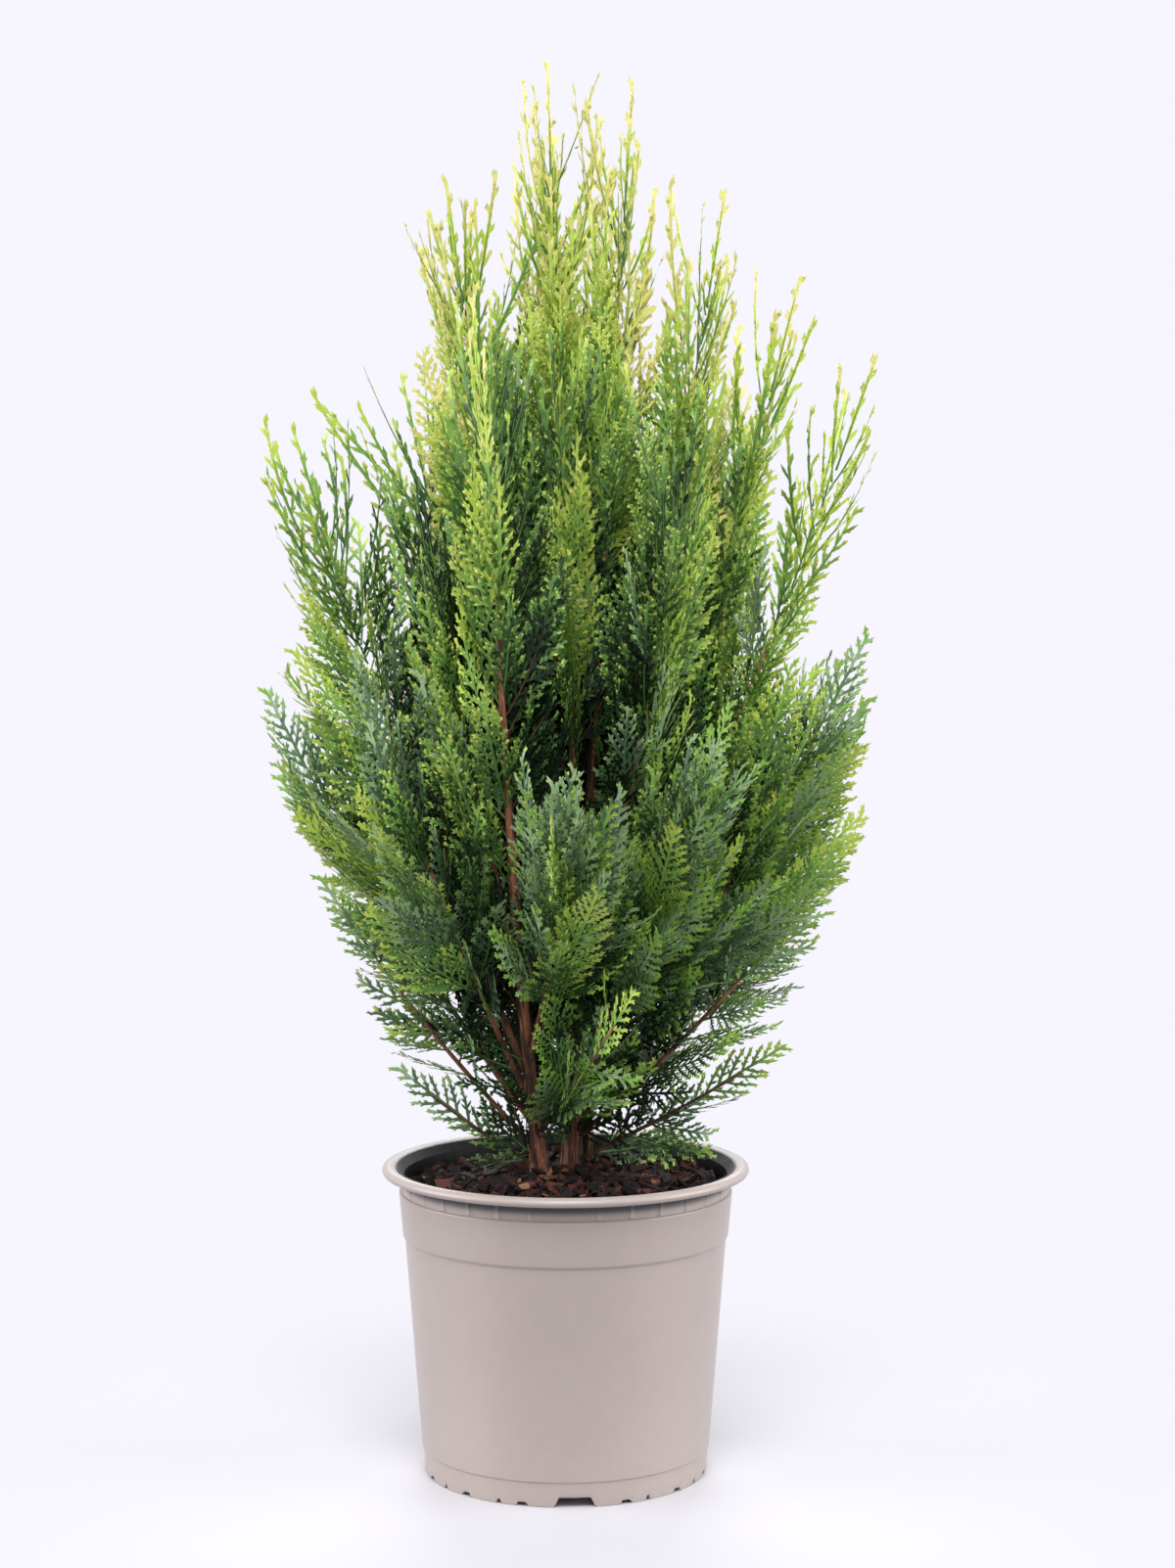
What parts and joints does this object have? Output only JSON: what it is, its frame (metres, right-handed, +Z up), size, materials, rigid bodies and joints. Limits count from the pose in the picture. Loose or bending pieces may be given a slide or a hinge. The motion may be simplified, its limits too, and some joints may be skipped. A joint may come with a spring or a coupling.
{
  "type": "potted false cypress",
  "caption": "Upright evergreen shrub with scale-leaf foliage in flat sprays, gold-tipped above and dark below, growing in a tapered taupe plastic nursery pot.",
  "frame": {"origin": "centre of the pot's underside, on the pot's axis", "axes": "+Z up along the pot's axis, -Y towards the front that the picture shows, +X to that front's right"},
  "size_m": [0.31, 0.2738, 0.722],
  "materials": {
    "pot_plastic": "matte moulded taupe plastic",
    "bark_mulch": "damp dark bark mulch",
    "bark": "rough reddish-brown bark",
    "foliage_gold": "waxy gold-green scale leaves",
    "foliage_green": "waxy bright green scale leaves",
    "foliage_blue_green": "waxy blue-green scale leaves",
    "foliage_shade": "waxy dark green scale leaves"
  },
  "bodies": {
    "root": {"pot": "pot_plastic", "soil": "bark_mulch", "stem_left": "bark", "stem_middle": "bark", "stem_right": "bark", "bough_far_left": "bark", "bough_left_shoulder": "bark", "bough_left_inner": "bark", "bough_left_low": "bark", "bough_left_outer": "bark", "bough_front": "bark", "bough_front_low": "bark", "bough_right_inner": "bark", "bough_right_front": "bark", "bough_right_shoulder": "bark", "bough_right_outer": "bark", "bough_far_right": "bark", "bough_right_low": "bark", "bough_low_left": "bark", "bough_low_right": "bark", "bough_back_high": "bark", "bough_back_left": "bark", "bough_back_right": "bark", "bough_back": "bark", "bough_back_low_left": "bark", "bough_back_low_right": "bark", "bough_back_low": "bark", "plume_left": "foliage_gold", "plume_middle": "foliage_gold", "plume_right": "foliage_gold", "plume_far_left": "foliage_green", "plume_left_shoulder": "foliage_gold", "plume_left_inner": "foliage_green", "plume_left_low": "foliage_blue_green", "plume_left_outer": "foliage_blue_green", "plume_front": "foliage_gold", "plume_front_low": "foliage_blue_green", "plume_right_inner": "foliage_blue_green", "plume_right_front": "foliage_green", "plume_right_shoulder": "foliage_gold", "plume_right_outer": "foliage_gold", "plume_far_right": "foliage_green", "plume_right_low": "foliage_blue_green", "plume_low_left": "foliage_shade", "plume_low_right": "foliage_shade", "plume_back_high": "foliage_gold", "plume_back_left": "foliage_green", "plume_back_right": "foliage_green", "plume_back": "foliage_green", "plume_back_low_left": "foliage_blue_green", "plume_back_low_right": "foliage_blue_green", "plume_back_low": "foliage_blue_green", "plume_skirt_left": "foliage_shade", "plume_skirt_right": "foliage_shade", "plume_skirt_front": "foliage_shade", "plume_skirt_back": "foliage_shade"}
  },
  "joints": []
}
